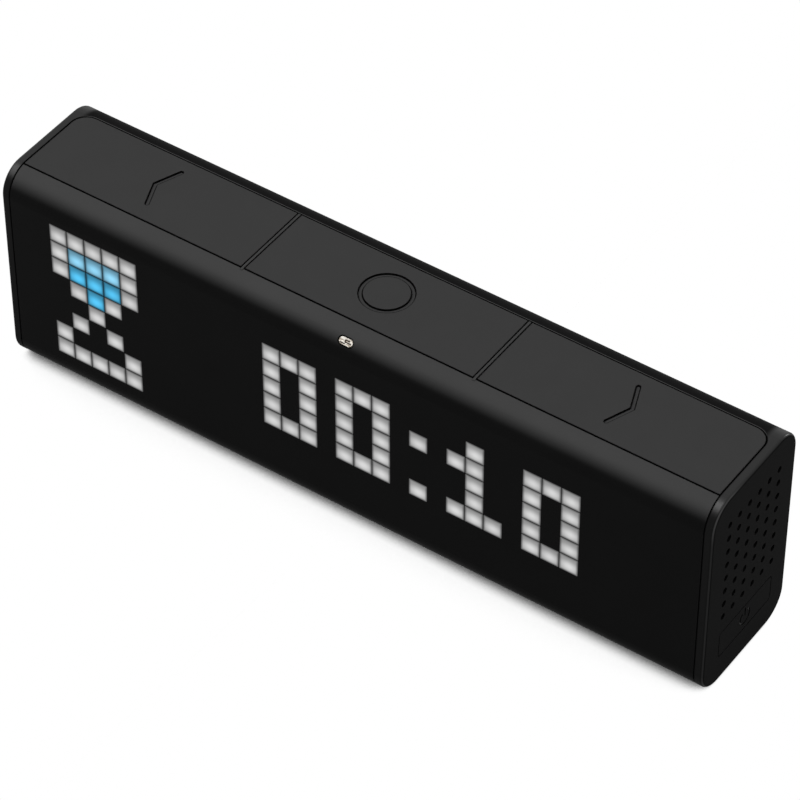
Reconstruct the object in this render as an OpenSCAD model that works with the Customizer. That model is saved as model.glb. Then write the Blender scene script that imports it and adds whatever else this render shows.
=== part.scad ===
// Pixel clock: a long bar with a dot display behind a smoked front panel, three
// keys along the top, a speaker behind a grille in each end and a USB inlet at the back.
// Millimetres. Origin on the table under the middle of the body, X to the right
// seen from the front, Y to the back, Z up.

/* [Display] */
// Pixel columns across the display
columns = 37; // [33:1:43]
// Pixel rows down the display
rows = 8; // [8:1:11]
// Spacing of the pixels
pixel_pitch = 5.25; // [5:0.05:6]
// Wall between two pixel wells
well_wall = 0.5; // [0.4:0.05:0.8]
// Depth of the pixel wells
well_depth = 5; // [4:0.5:6]
// Thickness of the diffuser sheet
diffuser_t = 0.4; // [0.3:0.1:0.8]
// Side of one LED
led_side = 2; // [1.6:0.1:2.8]
// Height of one LED
led_h = 0.8; // [0.5:0.1:1]
// Side of one LED driver chip
driver_side = 6; // [4:0.5:8]
// LED driver chips along the back of the LED board
drivers = 5; // [3:1:6]

/* [Housing] */
// Depth of the body, front to back
body_d = 36; // [35:0.5:44]
// Radius of the four long edges
corner_r = 7.2; // [6.8:0.1:8]
// Rounding of the edges round the two ends
end_edge_r = 0.8; // [0.4:0.1:1.2]
// Wall of the front panel and of the rear housing
wall = 2; // [1.8:0.1:2.4]
// Thickness of the end walls, seen from the front as a rim
end_wall = 2.3; // [2:0.1:3]
// Gap along the seams between mouldings
seam = 0.25; // [0.2:0.05:0.35]
// How far the front panel lies below the rims at its ends
panel_under = 0.05; // [0.03:0.01:0.1]
// How far the front seam lies past the start of the front edge's curve
front_seam_over = 0.95; // [0.6:0.05:1.2]
// How far the back seam lies past the start of the back edge's curve
back_seam_over = 0.55; // [0.3:0.05:1]
// Radius of the back corners of the opening for the keys
strip_corner_r = 4.5; // [3:0.5:7]
// Radius of the screw bosses
boss_r = 2; // [1.8:0.1:2.4]
// Radius of the threaded holes in the bosses
thread_r = 1; // [0.8:0.05:1.1]

/* [Keys] */
// Travel of the three top keys
key_travel = 0.6; // [0.3:0.1:1]
// Thickness of a key's top plate
key_t = 1.8; // [1.5:0.1:2.4]
// Thickness of a key's skirt
key_wall = 1.5; // [1.2:0.1:2]
// How far a key's lip reaches under the housing
lip = 0.8; // [0.5:0.1:1]
// Thickness of a key's lip
lip_t = 1; // [0.8:0.1:1.4]
// Width of the ribs between the keys
rib_w = 0.7; // [0.6:0.1:1.2]
// Gap between a rib and a key
rib_gap = 0.2; // [0.15:0.05:0.35]
// Depth of the engraved marks
mark_depth = 0.38; // [0.16:0.02:0.5]
// Width of the engraved lines at the surface
mark_w = 1.06; // [0.8:0.02:1.3]
// How much an engraved line narrows on each side down to its floor
mark_draft = 0.06; // [0.06:0.02:0.24]
// Distance of the engraved marks behind the middle of the body
mark_y = 0.2; // [0:0.05:0.5]
// Middle radius of the engraved ring
ring_r = 6.25; // [5:0.25:8]
// Half the span of an engraved arrow
arrow_half = 6.8; // [4:0.2:8]
// Reach of an engraved arrow along the body
arrow_reach = 2.7; // [2:0.1:4]
// Where the arrows' points lie, from the middle of the body
arrow_tip_x = 67.5; // [60:0.5:75]
// Radius of a key's guide pin
guide_r = 1.5; // [1.2:0.1:2]
// Running clearance round pins and plungers
running = 0.06; // [0.03:0.01:0.09]
// Distance of the guide pins from the middle of a key
guide_x = 16; // [12:0.5:18]

/* [Side keys] */
// Length of the field of the side keys
side_key_w = 23.1; // [20:0.1:24]
// Height of the side keys
side_key_h = 8.1; // [7:0.1:9]
// Height of the middle of the side keys above the underside of the housing
side_key_z = 12.3; // [11.5:0.1:13]
// Corner radius of the side keys
side_key_r = 1.2; // [0.6:0.1:2]
// Travel of the side keys
side_travel = 0.5; // [0.3:0.1:0.8]
// Room behind a pressed side key
side_clear = 0.325; // [0.25:0.025:0.6]
// Radius of the power sign
power_sign_r = 2.05; // [1.5:0.05:2.6]
// Line width of the signs on the side keys
sign_w = 0.5; // [0.4:0.05:0.7]
// Depth of the signs on the side keys
sign_depth = 0.25; // [0.15:0.05:0.4]

/* [Grille and speakers] */
// Grille holes front to back
grille_columns = 6; // [4:1:6]
// Grille holes down
grille_rows = 8; // [5:1:8]
// Spacing of the grille holes
grille_pitch = 4.25; // [3.6:0.05:4.4]
// Diameter of a grille hole
grille_hole_d = 1.7; // [1.2:0.1:2.2]
// Height of the middle of the grille above the underside of the housing
grille_z = 36.5; // [36.5:0.5:40]
// Width of a speaker
speaker_w = 20; // [16:0.5:21]
// Height of a speaker
speaker_h = 28; // [24:0.5:28]
// Thickness of a speaker's flange
speaker_flange = 2; // [1.5:0.1:2.5]
// Depth of a speaker's basket behind its flange
basket_d = 4; // [3:0.5:5]
// Radius of a speaker's magnet
magnet_r = 7; // [5:0.5:7.5]
// Height of a speaker's magnet
magnet_h = 4; // [3:0.5:5]
// Thickness of a speaker's foam gasket
gasket_t = 1; // [0.8:0.1:1.5]
// Rim of a speaker round its cone
speaker_rim = 2.4; // [2:0.1:3]
// Radius of the pins that locate a speaker
locator_r = 1; // [0.8:0.1:1.2]

/* [Light sensor] */
// Length of the sensor window
window_l = 4.3; // [3.5:0.1:5.5]
// Height of the sensor window
window_h = 2.4; // [1.8:0.1:3]
// Tilt of the window up the front edge's curve
window_tilt = 38.5; // [30:0.5:48]
// Gap round the sensor in its window
window_gap = 0.3; // [0.2:0.02:0.36]
// Thickness of the sensor
sensor_t = 2.2; // [2:0.1:2.6]
// Width of the sensor's track
track_w = 0.24; // [0.2:0.02:0.3]

/* [Boards] */
// Thickness of the circuit boards
board_t = 1.6; // [1.2:0.1:2]
// Height of the main board above the floor
standoff_h = 4.5; // [4:0.1:5]
// Length of the main board
main_board_l = 120; // [110:1:130]
// Side of a push switch
switch_side = 6.2; // [5:0.1:6.4]
// Height of a push switch
switch_h = 3.5; // [3:0.1:4]
// Radius of a push switch's plunger
plunger_r = 1.7; // [1.4:0.1:2]
// How far a plunger stands out of its switch
plunger_h = 1; // [0.9:0.1:1.6]
// Width of the ribbons
ribbon_w = 12; // [8:0.5:14]
// Thickness of the ribbons
ribbon_t = 0.3; // [0.2:0.05:0.4]
// Radius of an insulated wire
wire_r = 0.4; // [0.3:0.05:0.5]

/* [USB inlet] */
// Width of the recess round the inlet
inlet_w = 12.5; // [11:0.1:14]
// Height of the recess round the inlet
inlet_h = 8.5; // [7.5:0.1:9]
// Depth of the recess round the inlet
inlet_d = 4.5; // [3.5:0.1:5]
// Width of the USB socket
usb_w = 7.6; // [7.4:0.1:8]
// Height of the USB socket
usb_h = 2.7; // [2.5:0.1:3]
// Length of the USB socket
usb_l = 5.4; // [5:0.1:6]

/* [Feet and screws] */
// Radius of a foot
foot_r = 4.5; // [4:0.1:5]
// How far the feet stand proud
foot_proud = 0.5; // [0.4:0.1:1]
// Depth of the recess that holds a foot
foot_sunk = 0.8; // [0.5:0.1:0.9]
// Distance of the feet from each end of the body
foot_inset_x = 20; // [16:1:30]
// Margin between the front feet and the seam under the body
foot_edge = 0.75; // [0.5:0.05:2]
// Radius of a screw's shank
shank_r = 0.95; // [0.7:0.05:1]
// Radius of a screw's head
head_r = 1.9; // [1.6:0.1:2]
// Height of a screw's head
head_h = 1.3; // [1:0.1:1.5]

/* [Hidden] */
$fn = 64;
// Small overlap where two solids of one piece are joined, and overshoot of cuts
eps = 0.5;
// Clearance between fixed pieces that lie beside each other
slip = 0.05;
// Clearance of screws and pins in plain holes
hole_play = 0.2;
// Head height of the flat screws under the feet
flat_head_h = 0.6;
// Room left under the point of a screw in its hole
screw_short = 0.5;
// Gap between inner pieces that must not touch
part_gap = 0.4;
// Room behind the heads of the display screws
head_room = 1;

// Fits that set the height of the body
boss_clear = 0.3;
lip_clear = 0.24;
key_board_clear = 0.3;
tab_room = 2.95;
tab_clear = 0.5;
inner_r = corner_r - wall;
lip_dy = max(front_seam_over, back_seam_over) + lip;
steps_per_mm = 100;
lip_fall = corner_r - sqrt(inner_r * inner_r - lip_dy * lip_dy) + lip_clear;
lip_drop = ceil(steps_per_mm * lip_fall) / steps_per_mm;
seam_rise = inner_r - sqrt(inner_r * inner_r - front_seam_over * front_seam_over);
board_margin = well_wall / 2 + boss_clear + 2 * boss_r;
pixels_w = columns * pixel_pitch;
pixels_h = rows * pixel_pitch;
house_h = wall + tab_room + board_margin + pixels_h + board_margin
    + key_board_clear + key_travel + lip_t + lip_drop;
stack_w = pixels_w + well_wall;
body_w = stack_w + 2 * (side_travel + side_clear + end_wall);

// Outer faces and inner faces
half_w = body_w / 2;
half_d = body_d / 2;
z0 = foot_proud;
z1 = z0 + house_h;
inner_x = half_w - end_wall;
floor_z = z0 + wall;
back_y = half_d - wall;
flat_y = half_d - corner_r;
strip_front = flat_y + front_seam_over;
strip_back = flat_y + back_seam_over;

// Display stack, from the panel's inner face to the back of the LED board
stack_y0 = -half_d + wall;
baffle_y0 = stack_y0 + diffuser_t;
board_y0 = baffle_y0 + well_depth;
board_y1 = board_y0 + board_t;
display_z = floor_z + tab_room + board_margin + pixels_h / 2;
board_half_h = pixels_h / 2 + board_margin;
boss_dz = board_half_h - boss_r;
boss_share = [-0.92, -0.32, 0.32, 0.92];
boss_x = boss_share * stack_w / 2;
driver_h = 1;

// Keys, from the lip down to the carrier
lip_z1 = z1 - lip_drop;
lip_z0 = lip_z1 - lip_t;
rib_x = inner_x / 3;
key_edge = rib_w / 2 + rib_gap;
outer_key_x = (inner_x - seam + rib_x + key_edge) / 2;
key_x = [-outer_key_x, 0, outer_key_x];
post_wall = 0.8;
post_r = plunger_r + post_wall;
post_l = 1.5;
plunger_z1 = lip_z0 - post_l;
switch_z1 = plunger_z1 - plunger_h;
switch_z0 = switch_z1 - switch_h;
carrier_t = 2;
carrier_z1 = switch_z0 - board_t;
carrier_z0 = carrier_z1 - carrier_t;
plunger_sunk = 1.2;
guide_wall = 1.4;
switch_margin = 1.1;
switch_board_half = switch_side / 2 + switch_margin;
guide_y = switch_board_half + part_gap + guide_r + running + guide_wall;
guide_z0 = carrier_z1 + key_travel;
stake_r = 1;
stake_h = 0.8;
stake_edge = 0.8;
carrier_margin = 0.6;
carrier_half_w = outer_key_x + guide_x + guide_r + running + guide_wall + carrier_margin;
carrier_y0 = board_y1 + head_h + head_room;
carrier_y1 = back_y - carrier_margin;
carrier_rib_h = 3;
carrier_rib_t = 1.5;
column_share = [-0.9, -0.3, 0.3, 0.9];
column_x = column_share * carrier_half_w;
column_edge = 1;
column_y = carrier_y1 - boss_r - column_edge;
column_h = 14;
column_hole = column_h / 2;

// Side keys, from the flange in to the switch board
side_z = z0 + side_key_z;
side_lip = 0.8;
side_lip_t = 0.8;
side_lip_gap = 0.3;
flange_x1 = inner_x - side_lip_gap;
flange_x0 = flange_x1 - side_lip_t;
flange_y0 = board_y1 + head_h + part_gap;
side_post_l = 1.6;
side_plunger_x = flange_x0 - side_post_l;
side_switch_x1 = side_plunger_x - plunger_h;
side_switch_x0 = side_switch_x1 - switch_h;
side_board_x0 = side_switch_x0 - board_t;
side_boss_dz = side_key_h / 2 + side_lip + boss_r + part_gap;
power_switch_y = (flange_y0 + side_key_w / 2) / 2;
side_boss_front = 2.5;
side_boss_back = 2.2;
side_boss_y = [flange_y0 + side_boss_front, back_y - boss_r - side_boss_back];
side_low_boss_y = (side_boss_y[0] + side_boss_y[1]) / 2;
side_board_gap = 0.6;
half_key_w = (side_key_w - seam) / 2;
volume_switch_gap = 2.5;
volume_front_y = flange_y0 + switch_side / 2 + part_gap;
volume_switch_y = [volume_front_y, volume_front_y + switch_side + volume_switch_gap];
sign_half = 1.6;

// Speakers and grille
speaker_y = (board_y1 + head_h + back_y) / 2;
speaker_z = z0 + grille_z;
locator_in = 1.7;
locator_dy = speaker_w / 2 - locator_in;
locator_dz = speaker_h / 2 - locator_in;
flange_front_x = inner_x - gasket_t;
basket_x = flange_front_x - speaker_flange;
cone_w = speaker_w - 2 * speaker_rim;
cone_h = speaker_h - 2 * speaker_rim;
cone_t = 0.5;
cone_sunk = 0.8;
cap_r = 3;
cap_h = 0.7;
cap_ball_r = (cap_r * cap_r + cap_h * cap_h) / (2 * cap_h);
speaker_r = 1;
basket_wall = 1;
magnet_seat = 2;

// Light sensor, in a frame whose Z points out of the window
window_y = -flat_y;
window_z = z1 - corner_r;
sensor_sunk = 0.15;
track_t = 0.1;
// Runs of the track along the sensor's face: height, start and end as shares of its half sizes
track_runs = [[0.45, -0.15, 0.55], [-0.12, -0.15, 0.8], [-0.55, -0.8, -0.05]];
lead_r = 0.25;
lead_dx = 1.1;

// Main board and USB inlet
main_z0 = floor_z + standoff_h;
main_z1 = main_z0 + board_t;
collar_wall = 1.2;
inlet_r = 1.2;
inlet_floor_y = half_d - inlet_d;
inlet_z = main_z1 + usb_h / 2;
usb_sunk = 0.3;
usb_y1 = inlet_floor_y - usb_sunk;
usb_shell_t = 0.3;
usb_root = 1.5;
tongue_t = 0.6;
tongue_short = 0.6;
main_y0 = board_y1 + head_h + head_room;
main_y1 = inlet_floor_y - collar_wall - part_gap;
main_screw_in = 3.6;
main_screw_x = main_board_l / 2 - main_screw_in;
main_screw_y = [main_y0 + main_screw_in, main_y1 - main_screw_in];

// Parts on the main board: places along X, then sizes
processor_x = -20;
processor_side = 13;
processor_h = 1.3;
radio_in = 20;
radio_x = main_board_l / 2 - radio_in;
radio_board = [18, 15, 0.8];
radio_can = [12, 13, 2];
radio_can_in = 2;
radio_can_x = radio_x - radio_can_in;
coil_x = 12;
coil_back = 3.5;
coil_r = 3;
coil_core_r = 2.2;
coil_cheek = 0.8;
coil_h = 3.2;
capacitor_x = [-36, -30.5];
capacitor_back = 2.5;
capacitor_r = 2.5;
capacitor_h = 6;

// Connectors and ribbons
connector_h = 4;
connector_t = 2;
plug_margin = 1.5;
plug_half = ribbon_w / 2 + plug_margin;
ribbon_bend = 2.4;
display_plug_x = 20;
display_plug_y = board_y1 + connector_t / 2 + ribbon_bend;
display_plug_z = main_z1 + connector_t / 2 + ribbon_bend;
key_plug_x = -50;
key_plug_y = (main_y0 + main_y1) / 2;

// Wires, which come down on the main board between its screws and the key ribbon's socket
wire_gap = 0.6;
wire_pitch = 2 * wire_r + wire_gap;
wire_bend = 2;
wire_in = 1.2;
wire_x = main_board_l / 2 - wire_in;
front_lane_y = (main_screw_y[0] + head_r + key_plug_y - connector_h / 2) / 2;
back_lane_y = (main_screw_y[1] - head_r + key_plug_y + connector_h / 2) / 2;
basket_low_z = speaker_z - cone_h / 2 - basket_wall;
speaker_wire_z = (basket_low_z + speaker_z - magnet_r - wire_pitch) / 2;

// Feet and the tabs of the front panel over the front feet
foot_x = half_w - foot_inset_x;
foot_y = strip_front - foot_edge - foot_r;
tab_w = 12;
tab_reach = 4.5;
tab_z0 = floor_z + seam_rise + slip;
tab_z1 = floor_z + tab_room - tab_clear;

// A box between two opposite corners
module block(low, high) {
    translate(low) cube(high - low);
}

// An outline in X and Y, between two heights
module rise(low, high) {
    translate([0, 0, low]) linear_extrude(high - low) children();
}

// An outline in Y and Z, between two places along X
module span_x(low, high) {
    translate([low, 0, 0]) rotate([90, 0, 90]) linear_extrude(high - low) children();
}

// An outline in X and Z, between two places along Y
module span_y(low, high) {
    translate([0, high, 0]) rotate([90, 0, 0]) linear_extrude(high - low) children();
}

// A shaft along X, Y or Z between two places
module shaft_x(low, high, r) {
    translate([low, 0, 0]) rotate([0, 90, 0]) cylinder(high - low, r = r);
}
module shaft_y(low, high, r) {
    translate([0, high, 0]) rotate([90, 0, 0]) cylinder(high - low, r = r);
}
module shaft_z(low, high, r) {
    translate([0, 0, low]) cylinder(high - low, r = r);
}

// A quarter of a disc that fills the corner towards (sx, sy)
module quarter_disc(r, sx, sy) {
    intersection() {
        circle(r);
        translate([sx < 0 ? -r : 0, sy < 0 ? -r : 0]) square(r);
    }
}

// A centred rectangle with true round corners
module rounded_rect(w, h, r) {
    square([w, h - 2 * r], center = true);
    square([w - 2 * r, h], center = true);
    for (sx = [-1, 1], sy = [-1, 1])
        translate([sx * (w / 2 - r), sy * (h / 2 - r)]) quarter_disc(r, sx, sy);
}

// A line of width w from (0, 0) to (l, 0) with round ends
module stroke(l, w) {
    translate([0, -w / 2]) square([l, w]);
    for (end = [0, 1])
        translate([end * l, 0]) intersection() {
            circle(w / 2);
            translate([(end - 1) * w / 2, -w / 2]) square([w / 2, w]);
        }
}

// A stroke between two points
module stroke_between(a, b, w) {
    translate(a) rotate(atan2(b[1] - a[1], b[0] - a[0])) stroke(norm(b - a), w);
}

// The same shape at both ends, drawn at the right end and mirrored to the left
module both_ends() {
    children();
    mirror([1, 0, 0]) children();
}

// Cross-section of the body in Y and Z, shrunk by inset
module body_section(inset) {
    translate([0, z0 + house_h / 2])
        rounded_rect(body_d - 2 * inset, house_h - 2 * inset, corner_r - inset);
}

// The outer form of the body: the section drawn along X, with every end edge rounded
module body_bar() {
    mid_z = z0 + house_h / 2;
    rise(z0 + corner_r, z1 - corner_r) rounded_rect(body_w, body_d, end_edge_r);
    span_y(-flat_y, flat_y) difference() {
        translate([0, mid_z]) rounded_rect(body_w, house_h, end_edge_r);
        translate([-body_w, z0 + corner_r]) square([2 * body_w, house_h - 2 * corner_r]);
    }
    for (sy = [-1, 1], sz = [-1, 1])
        translate([0, sy * flat_y, mid_z + sz * (house_h / 2 - corner_r)])
            rotate([sy > 0 ? (sz > 0 ? 0 : -90) : (sz > 0 ? 90 : 180), 0, 0])
                rotate([90, 0, 90]) rotate_extrude(angle = 90) edge_half_section();
}

// Half section of a long edge: radius by length, rounded at both ends
module edge_half_section() {
    intersection() {
        rounded_rect(2 * corner_r, body_w, end_edge_r);
        translate([0, -body_w]) square([corner_r, 2 * body_w]);
    }
}

// Plan of the opening for the panel and the keys, with round back corners
module strip_plan(gap) {
    w = inner_x - gap;
    r = strip_corner_r - gap;
    back = strip_back - gap;
    translate([-w, -body_d]) square([2 * w, body_d + back - r]);
    translate([-w + r, back - r]) square([2 * (w - r), r]);
    for (sx = [-1, 1]) translate([sx * (w - r), back - r]) quarter_disc(r, sx, 1);
}

// Outline of a side key's opening, in Y and Z
module side_field(w, h, y, r) {
    translate([y, side_z]) rounded_rect(w, h, r);
}

// Holes of one grille, through the right end wall
module grille_holes() {
    for (i = [0 : grille_columns - 1], j = [0 : grille_rows - 1])
        translate([0, (i - (grille_columns - 1) / 2) * grille_pitch,
                   speaker_z + (j - (grille_rows - 1) / 2) * grille_pitch])
            shaft_x(inner_x - eps, half_w + eps, grille_hole_d / 2);
}

// Places of the right side board's three screws, in Y and Z
module at_side_bosses() {
    for (y = side_boss_y) translate([0, y, side_z + side_boss_dz]) children();
    translate([0, side_low_boss_y, side_z - side_boss_dz]) children();
}

// Places of the two pins on each side of a speaker
module at_locators() {
    for (sy = [-1, 1], sz = [-1, 1])
        translate([0, speaker_y + sy * locator_dy, speaker_z + sz * locator_dz]) children();
}

// A pan head screw that stands on z = 0 and points down
module pan_screw(l) {
    side_h = 0.6 * head_h;
    dome_r = 2 * head_r;
    cross_half = 0.55 * head_r;
    cross_w = 0.4;
    difference() {
        rotate_extrude() {
            square([head_r, side_h]);
            intersection() {
                translate([0, side_h]) square([head_r, head_h - side_h]);
                translate([0, head_h - dome_r]) circle(dome_r);
            }
        }
        for (turn = [0, 90]) rotate(turn)
            block([-cross_half, -cross_w / 2, head_h / 2], [cross_half, cross_w / 2, head_h + eps]);
    }
    shaft_z(-l, 0, shank_r);
}

// One moulding: back, floor, back edge of the top and both end walls
module rear_housing() color("#1b1b1c") {
    difference() {
        union() {
            difference() {
                body_bar();
                span_x(-inner_x, inner_x) body_section(wall);
                rise(display_z, z1 + eps) strip_plan(0);
                block([-inner_x, -body_d, z0 - eps], [inner_x, -strip_front, display_z + eps]);
            }
            housing_bosses();
            usb_collar();
        }
        both_ends() {
            grille_holes();
            span_x(inner_x - eps, half_w + eps) side_field(side_key_w, side_key_h, 0, side_key_r);
        }
        usb_recess();
        for (sx = [-1, 1], sy = [-1, 1]) translate([sx * foot_x, sy * foot_y, 0])
            shaft_z(0, z0 + foot_sunk, foot_r + slip);
        for (sx = [-1, 1]) translate([sx * foot_x, -foot_y, 0]) {
            shaft_z(0, z0 + foot_sunk + flat_head_h + slip, head_r + hole_play);
            shaft_z(0, floor_z + eps, shank_r + hole_play);
        }
    }
}

// Screw bosses and locating pins inside the rear housing
module housing_bosses() {
    for (x = column_x) translate([x, column_y, 0]) difference() {
        union() {
            shaft_z(carrier_z0 - column_h, carrier_z0, boss_r);
            block([-boss_r / 2, 0, carrier_z0 - column_h],
                  [boss_r / 2, back_y + eps - column_y, carrier_z0]);
        }
        shaft_z(carrier_z0 - column_hole, carrier_z0 + eps, thread_r);
    }
    for (sx = [-1, 1], y = main_screw_y) translate([sx * main_screw_x, y, 0]) difference() {
        shaft_z(floor_z - eps, main_z0, boss_r);
        shaft_z(floor_z + eps, main_z0 + eps, thread_r);
    }
    both_ends() {
        at_side_bosses() difference() {
            shaft_x(side_switch_x0, inner_x + eps, boss_r);
            shaft_x(side_switch_x0 - eps, inner_x - eps, thread_r);
        }
        at_locators() shaft_x(basket_x - eps, inner_x + eps, locator_r);
    }
}

// Wall round the recess of the USB inlet, inside the back
module usb_collar() {
    span_y(inlet_floor_y - collar_wall, back_y + eps)
        translate([0, inlet_z])
            rounded_rect(inlet_w + 2 * collar_wall, inlet_h + 2 * collar_wall, inlet_r + collar_wall);
}

// The recess itself, with a slot in its floor for the socket
module usb_recess() {
    span_y(inlet_floor_y, half_d + eps) translate([0, inlet_z]) rounded_rect(inlet_w, inlet_h, inlet_r);
    span_y(inlet_floor_y - collar_wall - eps, inlet_floor_y + eps) translate([0, inlet_z])
        square([usb_w + 2 * hole_play, usb_h + 2 * hole_play], center = true);
}

// The front panel: a curved shell with the key ribs, display bosses and tabs for its screws
module front_panel() color("#141415") {
    half_l = inner_x - seam;
    edge_y = -strip_front - seam;
    difference() {
        union() {
            span_x(-half_l, half_l) intersection() {
                difference() {
                    body_section(panel_under);
                    body_section(wall);
                }
                translate([-body_d, -house_h]) square([body_d + edge_y, 3 * house_h]);
            }
            for (sx = [-1, 1]) translate([sx * rib_x, 0, 0]) key_rib(edge_y);
            for (x = boss_x, sz = [-1, 1]) translate([x, 0, display_z + sz * boss_dz])
                shaft_y(stack_y0 - eps, board_y0, boss_r);
            for (sx = [-1, 1]) translate([sx * foot_x, 0, 0]) panel_tab();
        }
        for (x = boss_x, sz = [-1, 1]) translate([x, 0, display_z + sz * boss_dz])
            shaft_y(stack_y0 + eps, board_y0 + eps, thread_r);
        for (sx = [-1, 1]) translate([sx * foot_x, -foot_y, 0])
            shaft_z(floor_z - eps, tab_z1 + eps, thread_r);
        at_window() rise(-wall - eps, eps) translate([-(window_l - window_h) / 2, 0])
            stroke(window_l - window_h, window_h);
    }
}

// A slim rib between two keys, with a tongue under the back edge of the housing
module key_rib(edge_y) {
    half = rib_w / 2;
    intersection() {
        block([-half, edge_y - eps, lip_z0], [half, strip_back - seam, z1 + eps]);
        span_x(-rib_w, rib_w) body_section(0);
    }
    block([-half, strip_back - seam - eps, lip_z0], [half, strip_back + lip, lip_z1]);
}

// A tab that reaches back over the floor, for one screw
module panel_tab() {
    intersection() {
        block([-tab_w / 2, -half_d, tab_z0], [tab_w / 2, -foot_y + tab_reach, tab_z1]);
        span_x(-tab_w, tab_w) body_section(wall / 2);
    }
}

// Frame of the sensor window: origin on the outer curve, Z out of the curve
module at_window() {
    translate([0, window_y, window_z]) rotate([90 - window_tilt, 0, 0]) translate([0, 0, corner_r])
        children();
}

// Round rubber feet, glued into recesses in the floor
module rubber_feet() color("#232323") {
    edge = 0.4;
    for (sx = [-1, 1], sy = [-1, 1]) translate([sx * foot_x, sy * foot_y, 0])
        rotate_extrude() polygon([
            [0, 0], [foot_r - edge, 0], [foot_r, edge], [foot_r, z0 + foot_sunk], [0, z0 + foot_sunk]
        ]);
}

// Flat head screws under the front feet
module panel_screws() color("#8f9296") {
    head_z = z0 + foot_sunk;
    for (sx = [-1, 1]) translate([sx * foot_x, -foot_y, 0]) {
        shaft_z(head_z, head_z + flat_head_h, head_r);
        shaft_z(head_z + flat_head_h, tab_z1 - slip, shank_r);
    }
}

// White film between the panel and the baffle
module diffuser_sheet() color("#e8e8e4") {
    half = stack_w / 2;
    half_h = (pixels_h + well_wall) / 2;
    block([-half, stack_y0, display_z - half_h], [half, baffle_y0, display_z + half_h]);
}

// Black grid with one well for each pixel
module pixel_baffle() color("#0f0f10") {
    half = stack_w / 2;
    half_h = (pixels_h + well_wall) / 2;
    well = pixel_pitch - well_wall;
    difference() {
        block([-half, baffle_y0, display_z - half_h], [half, board_y0, display_z + half_h]);
        at_pixels() block([-well / 2, baffle_y0 - eps, -well / 2], [well / 2, board_y0 + eps, well / 2]);
    }
}

// Middle of every pixel, on the plane Y = 0
module at_pixels() {
    for (i = [0 : columns - 1], j = [0 : rows - 1])
        translate([(i - (columns - 1) / 2) * pixel_pitch, 0,
                   display_z + (j - (rows - 1) / 2) * pixel_pitch]) children();
}

// Board that carries the LEDs, screwed to the bosses of the front panel
module led_board() color("#15412c") difference() {
    block([-stack_w / 2, board_y0, display_z - board_half_h],
          [stack_w / 2, board_y1, display_z + board_half_h]);
    for (x = boss_x, sz = [-1, 1]) translate([x, 0, display_z + sz * boss_dz])
        shaft_y(board_y0 - eps, board_y1 + eps, shank_r + hole_play);
}

// One LED in each well
module display_leds() color("#f2efe2") at_pixels()
    block([-led_side / 2, board_y0 - led_h, -led_side / 2], [led_side / 2, board_y0, led_side / 2]);

// Driver chips on the back of the LED board
module led_drivers() color("#1d1d1f") for (i = [0 : drivers - 1])
    translate([(i - (drivers - 1) / 2) * stack_w / (drivers + 1), board_y1, display_z])
        block([-driver_side / 2, 0, -driver_side / 2], [driver_side / 2, driver_h, driver_side / 2]);

// Screws through the LED board into the panel
module display_screws() color("#8f9296")
    for (x = boss_x, sz = [-1, 1]) translate([x, board_y1, display_z + sz * boss_dz])
        rotate([-90, 0, 0]) pan_screw(board_y1 - stack_y0 - eps - screw_short);

// Photo cell in the window, just below the outer curve, with a dark gap round it
module light_sensor() color("#b7a888") at_window() {
    h = window_h - 2 * window_gap;
    l = window_l - window_h;
    rise(-sensor_sunk - sensor_t, -sensor_sunk) translate([-l / 2, 0]) stroke(l, h);
}

// Dark track on the face of the photo cell: a hook and a straight run
module sensor_track() color("#4a3a2a") at_window() rise(-sensor_sunk, -sensor_sunk + track_t) {
    half_l = window_l / 2 - window_gap;
    half_h = window_h / 2 - window_gap;
    for (run = track_runs) translate([run[1] * half_l, run[0] * half_h - track_w / 2])
        square([(run[2] - run[1]) * half_l, track_w]);
    translate([track_runs[1][1] * half_l, track_runs[1][0] * half_h])
        square([track_w, (track_runs[0][0] - track_runs[1][0]) * half_h]);
}

// Two wires from the photo cell to the LED board
module sensor_leads() color("#c9c9c6") at_window() for (sx = [-1, 1])
    translate([sx * lead_dx, 0, 0]) shaft_z(-corner_r + lead_r + slip, -sensor_sunk - sensor_t, lead_r);

// A top key between two places along X: plate, skirt, lips, post and two guide pins
module top_key(x0, x1) {
    mid = (x0 + x1) / 2;
    lip_x0 = max(x0, -inner_x + strip_corner_r);
    lip_x1 = min(x1, inner_x - strip_corner_r);
    difference() {
        union() {
            intersection() {
                rise(lip_z0, z1 + eps) strip_plan(seam);
                block([x0, -strip_front, lip_z0 - eps], [x1, strip_back, z1 + 2 * eps]);
                span_x(x0 - eps, x1 + eps) body_section(0);
            }
            block([lip_x0, -strip_front - lip, lip_z0], [lip_x1, -strip_front + eps, lip_z1]);
            block([lip_x0, strip_back - seam - eps, lip_z0], [lip_x1, strip_back + lip, lip_z1]);
        }
        block([x0 + key_wall, -strip_front + key_wall, lip_z0 - eps],
              [x1 - key_wall, strip_back - seam - strip_corner_r, z1 - key_t]);
        block([lip_x0 + key_wall, -strip_front + key_wall, lip_z0 - eps],
              [lip_x1 - key_wall, strip_back - seam - key_wall, z1 - key_t]);
        translate([0, mark_y, z1]) children();
    }
    translate([mid, 0, 0]) {
        shaft_z(plunger_z1, z1 - key_t, post_r);
        for (sx = [-1, 1]) translate([sx * guide_x, guide_y, 0]) shaft_z(guide_z0, z1 - key_t, guide_r);
    }
}

// Half of a groove's section, with its surface on Y = 0
module groove_half() {
    half = mark_w / 2;
    polygon([[0, -mark_depth], [half - mark_draft, -mark_depth], [half, 0], [half, eps], [0, eps]]);
}

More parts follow.
